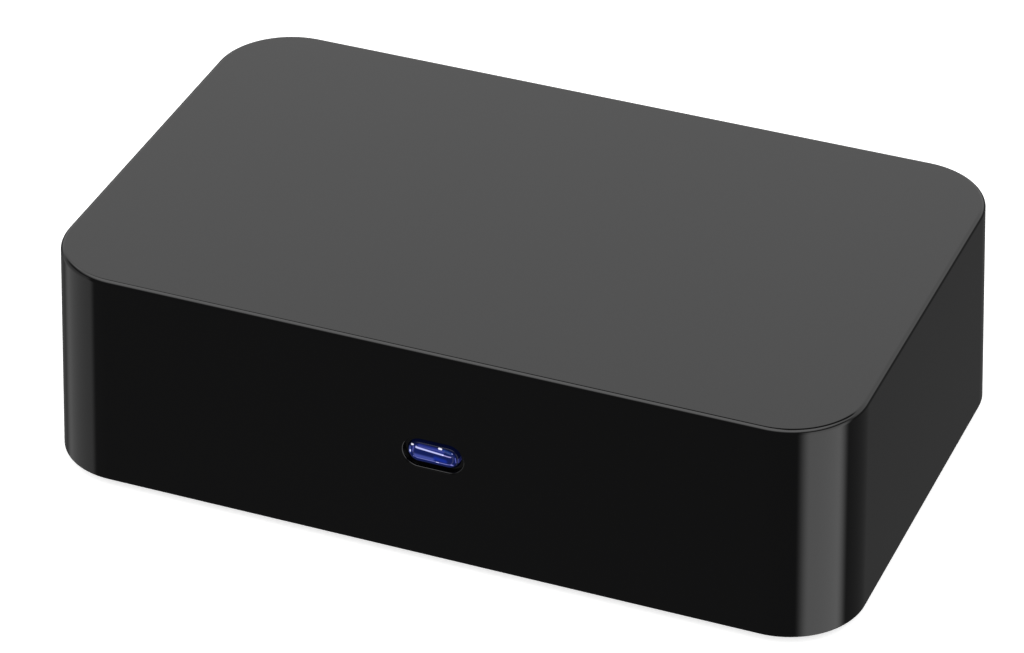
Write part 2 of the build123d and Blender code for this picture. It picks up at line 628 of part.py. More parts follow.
with BuildPart() as network_port_shield:
    with Locations((NETWORK_X, PORT_FACE, BOARD_TOP)):
        Box(NETWORK_W, NETWORK_DEPTH, NETWORK_H, align=INWARD)
        Box(
            NETWORK_W - 2 * SHIELD_T,
            NETWORK_DEPTH - SHIELD_T,
            NETWORK_H - SHIELD_T,
            align=INWARD,
            mode=Mode.SUBTRACT,
        )
keep(network_port_shield, "network_port_shield")

with BuildPart() as network_port_insert:
    with Locations((NETWORK_X, PORT_FACE, BOARD_TOP)):
        Box(NETWORK_W - 2 * SHIELD_T, NETWORK_DEPTH - SHIELD_T, NETWORK_H - SHIELD_T, align=INWARD)
    with BuildSketch(upright(PORT_FACE)):
        with Locations((NETWORK_X, CAVITY_FLOOR + CAVITY_H / 2)):
            Rectangle(CAVITY_W, CAVITY_H)
        with Locations((NETWORK_X, CAVITY_FLOOR - 0.4)):
            Rectangle(6.2, 1.0)
        with Locations((NETWORK_X, CAVITY_FLOOR - 0.8)):
            Rectangle(3.2, 1.2)
    extrude(amount=CAVITY_DEPTH, mode=Mode.SUBTRACT)
    with BuildSketch(upright(PORT_FACE)):
        with Locations([(x, LAMP_Z) for x in LAMP_SPOTS.values()]):
            Rectangle(*LAMP_SIZE)
    extrude(amount=3.0, mode=Mode.SUBTRACT)
keep(network_port_insert, "network_port_insert")

for lamp_name, lamp_x in LAMP_SPOTS.items():
    with BuildPart() as network_lamp:
        with BuildSketch(upright(PORT_FACE)):
            with Locations((lamp_x, LAMP_Z)):
                Rectangle(*LAMP_SIZE)
        extrude(amount=3.0)
    keep(network_lamp, lamp_name)

with BuildPart() as network_port_contacts:
    contact_root = (PORT_FACE - CAVITY_DEPTH, CAVITY_FLOOR + CAVITY_H - 0.1)
    contact_tip = (PORT_FACE - 3.2, CAVITY_FLOOR + CAVITY_H - 1.2)
    for place in range(8):
        contact_x = NETWORK_X + (place - 3.5) * 1.02
        with BuildSketch(Plane.YZ.offset(contact_x - 0.18)):
            with BuildLine():
                Polyline(
                    contact_root,
                    contact_tip,
                    (contact_tip[0], contact_tip[1] - 0.25),
                    (contact_root[0], contact_root[1] - 0.25),
                    close=True,
                )
            make_face()
        extrude(amount=0.36)
keep(network_port_contacts, "network_port_contacts")

# ---------------------------------------------------------------- optical socket with its hinged shutter
OPTICAL_DEPTH = 13.5
SHUTTER_AXIS = (PORT_FACE - 1.0, BOARD_TOP + 8.8)  # y and z of the hinge
LIP = 0.3
MOUTH_W, MOUTH_LOW, MOUTH_HIGH = 5.9, BOARD_TOP + 1.9, BOARD_TOP + 8.0
OPTICAL_BACK = PORT_FACE - 8.6
EMITTER_Z = (MOUTH_LOW + MOUTH_HIGH) / 2

with BuildPart() as optical_port_body:
    with Locations((OPTICAL_X, PORT_FACE, BOARD_TOP)):
        Box(OPTICAL_W, OPTICAL_DEPTH, OPTICAL_H, align=INWARD)
    with BuildSketch(upright(PORT_FACE)):
        with Locations((OPTICAL_X, EMITTER_Z)):
            Rectangle(MOUTH_W, MOUTH_HIGH - MOUTH_LOW)
    extrude(amount=1.0, mode=Mode.SUBTRACT)
    with Locations((OPTICAL_X, PORT_FACE - LIP, MOUTH_LOW - 0.2)):
        Box(6.5, PORT_FACE - LIP - OPTICAL_BACK, 7.8, align=INWARD, mode=Mode.SUBTRACT)
    with BuildSketch(Plane.YZ.offset(OPTICAL_X - 4.2)):
        with Locations(SHUTTER_AXIS):
            Circle(0.4)
    extrude(amount=8.4, mode=Mode.SUBTRACT)
    with BuildSketch(upright(OPTICAL_BACK)):
        with Locations((OPTICAL_X, EMITTER_Z)):
            Circle(1.85)
    extrude(amount=3.0, mode=Mode.SUBTRACT)
keep(optical_port_body, "optical_port_body")

with BuildPart() as optical_shutter:
    with BuildSketch(Plane.YZ.offset(OPTICAL_X - 3.1)):
        with Locations(SHUTTER_AXIS):
            Circle(0.55)
        with Locations((SHUTTER_AXIS[0] + 0.25, (SHUTTER_AXIS[1] + MOUTH_LOW) / 2)):
            Rectangle(0.6, SHUTTER_AXIS[1] - MOUTH_LOW)
    extrude(amount=6.2)
    with BuildSketch(Plane.YZ.offset(OPTICAL_X - 4.0)):
        with Locations(SHUTTER_AXIS):
            Circle(0.35)
    extrude(amount=8.0)
keep(optical_shutter, "optical_shutter")

with BuildPart() as optical_emitter:
    with BuildSketch(upright(OPTICAL_BACK - 3.0)):
        with Locations((OPTICAL_X, EMITTER_Z)):
            Circle(1.8)
    extrude(amount=-3.9)
    fillet(optical_emitter.faces().sort_by(Axis.Y)[-1].edges(), radius=0.5)
keep(optical_emitter, "optical_emitter")

# ---------------------------------------------------------------- audio and video jack
AV_BORE_R, AV_BORE_DEPTH, AV_NOSE = 1.8, 14.0, 1.9
AV_Z = BOARD_TOP + AV_H / 2
AV_LEG_T, AV_LEG_ROWS = 0.2, (22.5, 26.5, 30.5)
AV_LEG_X = [AV_X + side * (AV_W + AV_LEG_T) / 2 for side in (-1, 1)]

with BuildPart() as av_jack_body:
    with Locations((AV_X, PORT_FACE - AV_NOSE, BOARD_TOP)):
        Box(AV_W, 12.6, AV_H, align=INWARD)
    with BuildSketch(upright(PORT_FACE)):
        with Locations((AV_X, AV_Z)):
            Circle(AV_NOSE_R)
    extrude(amount=AV_NOSE)
    chamfer(av_jack_body.faces().sort_by(Axis.Y)[-1].edges(), 0.3)
    with BuildSketch(upright(PORT_FACE)):
        with Locations((AV_X, AV_Z)):
            Circle(AV_BORE_R)
    extrude(amount=AV_BORE_DEPTH, mode=Mode.SUBTRACT)
keep(av_jack_body, "av_jack_body")

with BuildPart() as av_jack_contacts:
    with Locations([(x, y, BOARD_TOP) for x in AV_LEG_X for y in AV_LEG_ROWS]):
        Box(AV_LEG_T, 1.6, 4.2, align=UP)
keep(av_jack_contacts, "av_jack_contacts")

# ---------------------------------------------------------------- power jack
POWER_Z = BOARD_TOP + 6.1
POWER_DEPTH, POWER_BORE_R, POWER_BORE_DEPTH = 14.4, 3.2, 9.5

with BuildPart() as power_jack_body:
    with Locations((POWER_X, PORT_FACE, BOARD_TOP)):
        Box(POWER_W, POWER_DEPTH, POWER_H, align=INWARD)
    fillet(power_jack_body.edges().filter_by(Axis.Y).group_by(Axis.Z)[-1], radius=1.2)
    with BuildSketch(upright(PORT_FACE)):
        with Locations((POWER_X, POWER_Z)):
            Circle(POWER_BORE_R)
        with Locations((POWER_X, POWER_Z - POWER_BORE_R)):
            Rectangle(2.6, 1.4)
    extrude(amount=POWER_BORE_DEPTH, mode=Mode.SUBTRACT)
    with BuildSketch(upright(PORT_FACE - POWER_BORE_DEPTH)):
        with Locations((POWER_X, POWER_Z)):
            Circle(1.1)
    extrude(amount=3.0, mode=Mode.SUBTRACT)
keep(power_jack_body, "power_jack_body")

with BuildPart() as power_jack_pin:
    with BuildSketch(upright(PORT_FACE - 0.7)):
        with Locations((POWER_X, POWER_Z)):
            Circle(1.05)
    extrude(amount=POWER_BORE_DEPTH + 2.3)
    fillet(power_jack_pin.faces().sort_by(Axis.Y)[-1].edges(), radius=0.6)
keep(power_jack_pin, "power_jack_pin")

with BuildPart() as power_jack_spring:
    with Locations((POWER_X, PORT_FACE - 1.5, POWER_Z - POWER_BORE_R - 0.5)):
        Box(2.0, POWER_BORE_DEPTH - 1.5, 0.3, align=INWARD)
keep(power_jack_spring, "power_jack_spring")
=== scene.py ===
import json
from math import cos, degrees, pi, radians, sin, tan

import bmesh
import bpy
from mathutils import Matrix, Vector


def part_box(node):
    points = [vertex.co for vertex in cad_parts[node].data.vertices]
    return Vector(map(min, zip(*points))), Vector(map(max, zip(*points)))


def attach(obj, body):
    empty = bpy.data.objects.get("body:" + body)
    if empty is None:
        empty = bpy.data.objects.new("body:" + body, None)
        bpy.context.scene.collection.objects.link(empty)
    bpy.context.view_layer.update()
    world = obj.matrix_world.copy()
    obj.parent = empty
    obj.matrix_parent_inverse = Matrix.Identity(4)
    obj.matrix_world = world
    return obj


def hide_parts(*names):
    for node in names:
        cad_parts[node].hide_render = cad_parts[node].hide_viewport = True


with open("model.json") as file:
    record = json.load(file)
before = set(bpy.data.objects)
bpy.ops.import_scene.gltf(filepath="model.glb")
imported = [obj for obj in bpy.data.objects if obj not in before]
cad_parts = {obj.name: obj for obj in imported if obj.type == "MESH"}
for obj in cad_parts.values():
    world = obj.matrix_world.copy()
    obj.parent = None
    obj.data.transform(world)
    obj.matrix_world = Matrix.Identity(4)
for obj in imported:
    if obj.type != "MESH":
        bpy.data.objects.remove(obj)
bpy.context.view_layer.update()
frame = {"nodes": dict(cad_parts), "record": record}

# The streaming media player in a plain studio. Units are metres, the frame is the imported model's:
# +Z up, front towards -Y, origin under the middle of the box on the surface that its feet rest on.

MM = 0.001

# ------------------------------------------------------------------ sizes, from the frame where it has them
case_low, case_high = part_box("upper_housing")
RIM_Z = case_low.z
TOP_Z = case_high.z
DRAFT = tan(radians(1.65))  # the walls stand out towards the foot
TOP_ROUND = 0.7 * MM
RIM_ROUND = 0.2 * MM
BASE_HALF_W = case_high.x + RIM_ROUND * DRAFT  # where the walls would meet the rim's plane
BASE_HALF_D = case_high.y + RIM_ROUND * DRAFT
CORNER = 11.4 * MM
WALL = 2.2 * MM

lens_low, lens_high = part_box("button_lens")
BUTTON_X = (lens_low.x + lens_high.x) / 2
BUTTON_Z = (lens_low.z + lens_high.z) / 2
LENS_W, LENS_H = 7.7 * MM, 3.3 * MM
DISH_W, DISH_H, DISH_DEPTH = 9.1 * MM, 4.6 * MM, 0.7 * MM
LIP_ROUND = 0.21 * MM
BUTTON_GAP = 0.2 * MM
FLANGE_OUT, FLANGE_T = 1.25 * MM, 0.8 * MM
RIM_SINK, RIM_CURVE = 0.50 * MM, 0.42 * MM  # the lens's rounded rim starts this deep and curves this much
PILL_W, PILL_H = 6.3 * MM, 2.1 * MM  # raised pill inside the rim
GROOVE_W, GROOVE_DEPTH = 0.08 * MM, 0.05 * MM

PANEL_BACK_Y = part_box("rear_panel")[1].y
BAY_W, BAY_H, BAY_Z = 93.6 * MM, 22.0 * MM, 16.5 * MM
BAY_CORNER, BAY_LIP = 2.0 * MM, 0.6 * MM
BAY_CUT, BUTTON_CUT = 6.0 * MM, 5.0 * MM  # how far in the rear opening and the button's hole are cut
PAD_HALF_W, PAD_T = 48.8 * MM, 1.5 * MM  # flat frame that the rear panel rests on
PAD_LOW, PAD_HIGH = 4.2 * MM, 29.4 * MM
BOSS_X, BOSS_Y, BOSS_RADIUS = 52.5 * MM, 29.2 * MM, 3.0 * MM
BOSS_FOOT, BOSS_SUNK = 5.6 * MM, 0.8 * MM  # the boss's lower end, and how far it runs into the roof


# ------------------------------------------------------------------ mesh helpers
def new_object(name, bm, smooth_angle=30):
    """Object made from a bmesh, smooth-shaded but for edges sharper than smooth_angle degrees."""
    mesh = bpy.data.meshes.new(name)
    bmesh.ops.recalc_face_normals(bm, faces=bm.faces)
    bm.to_mesh(mesh)
    bm.free()
    piece = bpy.data.objects.new(name, mesh)
    bpy.context.scene.collection.objects.link(piece)
    soften(mesh, smooth_angle)
    return piece


def soften(mesh, angle):
    for polygon in mesh.polygons:
        polygon.use_smooth = True
    mesh.set_sharp_from_angle(angle=radians(angle))


def loft(bm, rings, caps=True):
    """Skin closed rings of equal point count with quads, and close both ends."""
    loops = [[bm.verts.new(point) for point in ring] for ring in rings]
    count = len(loops[0])
    for lower, upper in zip(loops, loops[1:]):
        for i in range(count):
            j = (i + 1) % count
            bm.faces.new((lower[i], lower[j], upper[j], upper[i]))
    if caps:
        bm.faces.new(loops[0])
        bm.faces.new(loops[-1])


def rounded_outline(half_w, half_d, radius, steps=24):
    """Points of a rounded rectangle, the same number for every size."""
    points = []
    for quarter, (sx, sy) in enumerate(((1, 1), (-1, 1), (-1, -1), (1, -1))):
        cx, cy = sx * (half_w - radius), sy * (half_d - radius)
        for i in range(steps + 1):
            turn = pi / 2 * (quarter + i / steps)
            points.append((cx + radius * cos(turn), cy + radius * sin(turn)))
    return points


def apply_modifiers(piece):
    """Make the evaluated mesh the piece's own and drop its modifiers."""
    graph = bpy.context.evaluated_depsgraph_get()
    mesh = bpy.data.meshes.new_from_object(piece.evaluated_get(graph), depsgraph=graph)
    piece.modifiers.clear()
    piece.data = mesh


def boolean(piece, other, operation):
    """Join or cut piece with other, which is used up."""
    cut = piece.modifiers.new("cut", "BOOLEAN")
    cut.operation, cut.object, cut.solver = operation, other, "EXACT"
    apply_modifiers(piece)
    bpy.data.objects.remove(other)


def weigh_normals(piece, angle=30):
    """Large flat faces rule the shading, so the rounds between them meet them without a crease."""
    soften(piece.data, angle)
    weighted = piece.modifiers.new("weigh", "WEIGHTED_NORMAL")
    weighted.keep_sharp = True
    weighted.weight = 100
    apply_modifiers(piece)


# ------------------------------------------------------------------ housing
def housing_rings():
    """Closed section of the shell, ring by ring: roof underside, inner wall, rim, outer wall, top."""

    def ring(z, inset):
        lean = inset + (z - RIM_Z) * DRAFT
        outline = rounded_outline(BASE_HALF_W - lean, BASE_HALF_D - lean, CORNER - inset)
        return [(x, y, z) for x, y in outline]

    rings = [ring(TOP_Z - WALL, WALL), ring(RIM_Z, WALL)]
    for i in range(5):
        turn = pi / 2 * (1 - i / 4)
        rings.append(ring(RIM_Z + RIM_ROUND * (1 - sin(turn)), RIM_ROUND * (1 - cos(turn))))
    for i in range(15):
        turn = pi / 2 * i / 14
        rings.append(ring(TOP_Z - TOP_ROUND * (1 - sin(turn)), TOP_ROUND * (1 - cos(turn))))
    return rings


def slot_outline(width, height, steps=20):
    """Points of a pill shape in the plane of the wall: (along, up)."""
    radius, straight = height / 2, (width - height) / 2
    points = []
    for side in (1, -1):
        for i in range(steps + 1):
            turn = pi * i / steps - pi / 2 if side > 0 else pi * i / steps + pi / 2
            points.append((side * straight + radius * cos(turn), radius * sin(turn)))
    return points


def sunk_cutter(name, outline, centre, face_y, side, steps):
    """A cutter lofted along Y: each step is (width, height, depth below the wall's face)."""
    bm = bmesh.new()
    rings = []
    for width, height, depth in steps:
        rings.append(
            [(centre[0] + a, side * (face_y - depth), centre[1] + b) for a, b in outline(width, height)]
        )
    loft(bm, rings)
    return new_object(name, bm)


def flared(width, height, lip, steps=6):
    """Opening steps from outside the wall, round its rounded lip, to where the straight part begins."""
    rows = [(width + 2 * lip, height + 2 * lip, -4 * MM)]
    for i in range(steps + 1):
        turn = radians(3) + (pi / 2 - radians(3)) * i / steps
        grow = 2 * lip * (1 - sin(turn))
        rows.append((width + grow, height + grow, lip * (1 - cos(turn))))
    return rows


def wall_face(z):
    return BASE_HALF_D - (z - RIM_Z) * DRAFT


def build_housing():
    bm = bmesh.new()
    loft(bm, housing_rings())
    shell = new_object("housing_shell", bm)

    # flat frame behind the rear wall, and the four screw bosses under the roof
    bm = bmesh.new()
    pad = [(-PAD_HALF_W, PAD_LOW), (PAD_HALF_W, PAD_LOW), (PAD_HALF_W, PAD_HIGH), (-PAD_HALF_W, PAD_HIGH)]
    loft(bm, [[(x, y, z) for x, z in pad] for y in (PANEL_BACK_Y, PANEL_BACK_Y + PAD_T)])
    turns = [pi * i / 16 for i in range(32)]
    for x in (-BOSS_X, BOSS_X):
        for y in (-BOSS_Y, BOSS_Y):
            circle = [(x + BOSS_RADIUS * cos(turn), y + BOSS_RADIUS * sin(turn)) for turn in turns]
            loft(bm, [[(a, b, z) for a, b in circle] for z in (BOSS_FOOT, TOP_Z - WALL + BOSS_SUNK)])
    boolean(shell, new_object("added", bm), "UNION")

    def bay_outline(width, height):
        return rounded_outline(width / 2, height / 2, BAY_CORNER + (width - BAY_W) / 2, steps=8)

    rows = flared(BAY_W, BAY_H, BAY_LIP) + [(BAY_W, BAY_H, BAY_CUT)]
    boolean(
        shell,
        sunk_cutter("bay", bay_outline, (0, BAY_Z), wall_face(BAY_Z), 1, rows),
        "DIFFERENCE",
    )
    hole_w, hole_h = LENS_W + 2 * BUTTON_GAP, LENS_H + 2 * BUTTON_GAP
    rows = flared(DISH_W, DISH_H, LIP_ROUND) + [
        (DISH_W, DISH_H, DISH_DEPTH),
        (hole_w, hole_h, DISH_DEPTH),
        (hole_w, hole_h, BUTTON_CUT),
    ]
    boolean(
        shell,
        sunk_cutter("dish", slot_outline, (BUTTON_X, BUTTON_Z), wall_face(BUTTON_Z), -1, rows),
        "DIFFERENCE",
    )
    weigh_normals(shell)
    return shell


# ------------------------------------------------------------------ button lens
def build_lens():
    """Clear pill-shaped moulding: flange behind the wall, stem, rounded rim and a raised domed pill."""
    rear = -lens_high.y
    flange_front = rear + FLANGE_T
    rim_base = wall_face(BUTTON_Z) - RIM_SINK
    rows = [
        (LENS_W + 2 * FLANGE_OUT, LENS_H + 2 * FLANGE_OUT, rear),
        (LENS_W + 2 * FLANGE_OUT, LENS_H + 2 * FLANGE_OUT, flange_front),
        (LENS_W, LENS_H, flange_front),
        (LENS_W, LENS_H, rim_base),
    ]
    for i in range(1, 9):
        turn = radians(85) * i / 8
        shrink = 2 * RIM_CURVE * (1 - cos(turn))
        rows.append((LENS_W - shrink, LENS_H - shrink, rim_base + RIM_CURVE * sin(turn)))
    ledge = rows[-1][2]
    rows.append((PILL_W + 2 * GROOVE_W, PILL_H + 2 * GROOVE_W, ledge))
    rows.append((PILL_W + GROOVE_W, PILL_H + GROOVE_W, ledge - GROOVE_DEPTH))
    rise = -lens_low.y - ledge + GROOVE_DEPTH
    for i in range(17):
        turn = radians(4) + radians(84) * i / 16
        shrink = PILL_H * (1 - cos(turn))
        rows.append((PILL_W - shrink, PILL_H - shrink, ledge - GROOVE_DEPTH + rise * sin(turn)))
    bm = bmesh.new()
    rings = []
    for width, height, out in rows:
        rings.append([(BUTTON_X + a, -out, BUTTON_Z + b) for a, b in slot_outline(width, height)])
    loft(bm, rings)
    lens = new_object("lens", bm, smooth_angle=50)
    weigh_normals(lens, 50)
    return lens


# ------------------------------------------------------------------ material helpers
def material(name, base, roughness, metallic=0.0, ior=1.5, coat=0.0):
    """A Principled material; returns it with its node tree and shader node."""
    made = bpy.data.materials.new(name)
    made.use_nodes = True
    tree = made.node_tree
    shader = tree.nodes["Principled BSDF"]
    shader.inputs["Base Color"].default_value = (*base, 1)
    shader.inputs["Roughness"].default_value = roughness
    shader.inputs["Metallic"].default_value = metallic
    shader.inputs["IOR"].default_value = ior
    shader.inputs["Coat Weight"].default_value = coat
    return made, tree, shader


def place(tree):
    """Position on the object at rest, in metres."""
    return tree.nodes.new("ShaderNodeTexCoord").outputs["Object"]


def noise(tree, scale, detail=3.0, rough=0.5, stretch=(1, 1, 1)):
    mapping = tree.nodes.new("ShaderNodeMapping")
    mapping.inputs["Scale"].default_value = stretch
    tree.links.new(place(tree), mapping.inputs["Vector"])
    texture = tree.nodes.new("ShaderNodeTexNoise")
    texture.inputs["Scale"].default_value = scale
    texture.inputs["Detail"].default_value = detail
    texture.inputs["Roughness"].default_value = rough
    tree.links.new(mapping.outputs["Vector"], texture.inputs["Vector"])
    return texture.outputs["Fac"]


def spread(tree, value, low, high, from_low=0.3, from_high=0.7):
    """Map a noise value to low..high."""
    node = tree.nodes.new("ShaderNodeMapRange")
    node.inputs["From Min"].default_value = from_low
    node.inputs["From Max"].default_value = from_high
    node.inputs["To Min"].default_value = low
    node.inputs["To Max"].default_value = high
    tree.links.new(value, node.inputs["Value"])
    return node.outputs["Result"]


def mix_colours(tree, factor, first, second):
    node = tree.nodes.new("ShaderNodeMix")
    node.data_type = "RGBA"
    node.inputs["A"].default_value = (*first, 1)
    node.inputs["B"].default_value = (*second, 1)
    tree.links.new(factor, node.inputs["Factor"])
    return node.outputs["Result"]


def bump(tree, shader, height, strength, distance, below=None):
    node = tree.nodes.new("ShaderNodeBump")
    node.inputs["Strength"].default_value = strength
    node.inputs["Distance"].default_value = distance
    tree.links.new(height, node.inputs["Height"])
    if below is not None:
        tree.links.new(below, node.inputs["Normal"])
    tree.links.new(node.outputs["Normal"], shader.inputs["Normal"])
    return node.outputs["Normal"]


# ------------------------------------------------------------------ one material for each slot of the record
def gloss_black():
    made, tree, shader = material("gloss_black", (0.0012, 0.0012, 0.0014), 0.045)
    haze = noise(tree, 90, detail=4)
    tree.links.new(spread(tree, haze, 0.030, 0.060), shader.inputs["Roughness"])
    ripple = noise(tree, 260, detail=1)
    bump(tree, shader, ripple, 0.05, 0.00001)
    return made


def moulded(name, base, roughness=0.55, grain=4500, depth=0.00003):
    """Spark-eroded matt moulding: fine pebbled grain, faint tone and gloss variation."""
    made, tree, shader = material(name, base, roughness)
    patch = noise(tree, 160, detail=4)
    lighter = tuple(min(1, c * 1.35 + 0.002) for c in base)
    tree.links.new(mix_colours(tree, spread(tree, patch, 0, 1), base, lighter), shader.inputs["Base Color"])
    tree.links.new(spread(tree, patch, roughness - 0.06, roughness + 0.08), shader.inputs["Roughness"])
    bump(tree, shader, noise(tree, grain, detail=2), 0.35, depth)
    return made


def polished(name, base, roughness=0.18):
    made, tree, shader = material(name, base, roughness)
    patch = noise(tree, 400, detail=3)
    darker = tuple(c * 0.8 for c in base)
    tree.links.new(mix_colours(tree, spread(tree, patch, 0, 1), darker, base), shader.inputs["Base Color"])
    tree.links.new(spread(tree, patch, roughness, roughness + 0.12), shader.inputs["Roughness"])
    bump(tree, shader, noise(tree, 1500, detail=1), 0.08, 0.00001)
    return made


def metal(name, base, roughness=0.28, stretch=(1, 1, 12), scale=900):
    """Sheet or extruded metal with fine drawn lines and a little staining."""
    made, tree, shader = material(name, base, roughness, metallic=0.8)
    lines = noise(tree, scale, detail=3, stretch=stretch)
    stain = noise(tree, 220, detail=4)
    darker = tuple(c * 0.88 for c in base)
    tree.links.new(mix_colours(tree, spread(tree, stain, 0, 1), darker, base), shader.inputs["Base Color"])
    tree.links.new(spread(tree, lines, roughness - 0.03, roughness + 0.09), shader.inputs["Roughness"])
    bump(tree, shader, lines, 0.03, 0.00001)
    return made


def rubber():
    made, tree, shader = material("foot_rubber", (0.022, 0.022, 0.023), 0.72)
    dust = noise(tree, 700, detail=5, rough=0.65)
    dusty = spread(tree, dust, 0, 1, 0.45, 0.75)
    colour = mix_colours(tree, dusty, (0.020, 0.020, 0.021), (0.07, 0.068, 0.065))
    tree.links.new(colour, shader.inputs["Base Color"])
    tree.links.new(spread(tree, dust, 0.65, 0.85), shader.inputs["Roughness"])
    bump(tree, shader, noise(tree, 3500, detail=2), 0.4, 0.00004)
    return made


def solder_mask():
    """Green board: copper tracks show through the mask as a slightly lighter, raised pattern."""
    made, tree, shader = material("solder_mask", (0.01, 0.06, 0.03), 0.3)
    bricks = tree.nodes.new("ShaderNodeTexBrick")
    bricks.inputs["Scale"].default_value = 420
    bricks.inputs["Mortar Size"].default_value = 0.03
    tree.links.new(place(tree), bricks.inputs["Vector"])
    colour = mix_colours(tree, bricks.outputs["Fac"], (0.008, 0.055, 0.026), (0.02, 0.11, 0.05))
    tree.links.new(colour, shader.inputs["Base Color"])
    patch = noise(tree, 500, detail=3)
    tree.links.new(spread(tree, patch, 0.24, 0.40), shader.inputs["Roughness"])
    bump(tree, shader, bricks.outputs["Fac"], 0.3, 0.00002)
    return made


def lit(name, base, glow, strength, roughness=0.25):
    made, tree, shader = material(name, base, roughness)
    patch = noise(tree, 900, detail=2)
    darker = tuple(c * 0.75 for c in base)
    tree.links.new(mix_colours(tree, spread(tree, patch, 0, 1), darker, base), shader.inputs["Base Color"])
    tree.links.new(spread(tree, patch, roughness, roughness + 0.1), shader.inputs["Roughness"])
    shader.inputs["Emission Color"].default_value = (*glow, 1)
    shader.inputs["Emission Strength"].default_value = strength
    return made


# Painted light in the lens: strokes of emission over its face, in millimetres from its middle. The blue pools
# are painted glow, standing in for the lamp behind the lens. The bright ridge line, the thin lines along the
# lower edge and at the right end, and the white sparkles are painted highlights. They were placed after the
# photo. Each is start, end, half width, softness and colour.
PAINTED_LIGHT_STROKES = [
    ((-2.2, 0.00), (2.2, 0.00), 1.35, 0.35, (0.003, 0.008, 0.070)),
    ((-2.0, 1.15), (1.5, 1.05), 0.26, 0.40, (0.016, 0.022, 0.155)),
    ((-2.5, -0.38), (0.0, -0.48), 0.26, 0.50, (0.050, 0.065, 0.250)),
    ((0.5, -0.20), (1.9, -0.35), 0.30, 0.50, (0.002, 0.014, 0.200)),
    ((1.7, 1.25), (2.8, 0.95), 0.15, 0.30, (0.008, 0.030, 0.110)),
    ((-3.45, 0.60), (-3.50, -0.30), 0.12, 0.30, (0.045, 0.065, 0.220)),
    ((-2.9, 0.8), (-3.0, 0.1), 0.06, 0.30, (0.060, 0.060, 0.240)),
    ((-2.5, 0.87), (1.6, 0.62), 0.095, 0.13, (0.600, 0.620, 0.960)),
    ((1.6, 0.62), (2.75, 0.50), 0.050, 0.14, (0.480, 0.430, 0.780)),
    ((-2.9, -0.78), (3.0, -0.92), 0.07, 0.18, (0.130, 0.145, 0.400)),
    ((0.9, -0.93), (2.9, -0.92), 0.07, 0.16, (0.120, 0.105, 0.220)),
    ((3.35, 0.35), (3.45, -0.35), 0.03, 0.18, (0.110, 0.120, 0.400)),
    ((3.75, 0.20), (3.75, -0.40), 0.03, 0.20, (0.030, 0.035, 0.170)),
    ((-3.20, 1.06), (-2.98, 1.10), 0.10, 0.12, (1.000, 1.000, 1.100)),
    ((0.92, 1.36), (1.26, 1.34), 0.12, 0.12, (1.000, 1.000, 1.100)),
    ((-3.42, -0.12), (-3.42, 0.10), 0.08, 0.12, (0.800, 0.820, 1.000)),
    ((2.85, 0.98), (2.92, 0.98), 0.05, 0.12, (0.500, 0.520, 0.900)),
    ((0.60, -0.90), (0.85, -0.92), 0.08, 0.12, (0.750, 0.760, 1.000)),
]


def blue_lens():
    """Clear blue moulding with painted light as emission: soft pools of painted glow, a painted highlight
    along the ridge and small painted highlights as sparkles.
    """
    made, tree, shader = material("blue_lens", (0.002, 0.003, 0.02), 0.05, ior=1.5)
    ripple = noise(tree, 700, detail=2)
    tree.links.new(spread(tree, ripple, 0.03, 0.07), shader.inputs["Roughness"])

    def vector(operation, first, second):
        node = tree.nodes.new("ShaderNodeVectorMath")
        node.operation = operation
        for socket, value in zip(node.inputs, (first, second)):
            if hasattr(value, "is_linked"):
                tree.links.new(value, socket)
            else:
                socket.default_value = value
        return node

    from_middle = vector("SUBTRACT", place(tree), (BUTTON_X, 0, BUTTON_Z)).outputs[0]
    flat = vector("MULTIPLY", from_middle, (1 / MM, 0, 1 / MM)).outputs[0]
    # add up the painted glow and the painted highlights of every stroke
    light = None
    for start, end, half_width, softness, colour in PAINTED_LIGHT_STROKES:
        run = Vector((end[0] - start[0], 0, end[1] - start[1]))
        from_start = vector("SUBTRACT", flat, (start[0], 0, start[1])).outputs[0]
        share = vector("DOT_PRODUCT", from_start, run / run.length_squared).outputs["Value"]
        kept = tree.nodes.new("ShaderNodeClamp")
        tree.links.new(share, kept.inputs["Value"])
        nearest = tree.nodes.new("ShaderNodeVectorMath")
        nearest.operation = "SCALE"
        nearest.inputs[0].default_value = run
        tree.links.new(kept.outputs[0], nearest.inputs["Scale"])
        away = vector("DISTANCE", from_start, nearest.outputs[0]).outputs["Value"]
        inside = tree.nodes.new("ShaderNodeMapRange")
        inside.interpolation_type = "SMOOTHSTEP"
        inside.inputs["From Min"].default_value = max(0.0, half_width - softness / 2)
        inside.inputs["From Max"].default_value = half_width + softness / 2
        inside.inputs["To Min"].default_value = 1
        inside.inputs["To Max"].default_value = 0
        tree.links.new(away, inside.inputs["Value"])
        tinted = tree.nodes.new("ShaderNodeVectorMath")
        tinted.operation = "SCALE"
        tinted.inputs[0].default_value = colour
        tree.links.new(inside.outputs["Result"], tinted.inputs["Scale"])
        light = tinted.outputs[0] if light is None else vector("ADD", light, tinted.outputs[0]).outputs[0]
    # a faint painted glow over the whole lens, under the strokes
    glow = vector("ADD", light, (0.001, 0.002, 0.012)).outputs[0]
    tree.links.new(glow, shader.inputs["Emission Color"])
    shader.inputs["Emission Strength"].default_value = 1.0
    shader.inputs["Specular IOR Level"].default_value = 0.2
    return made


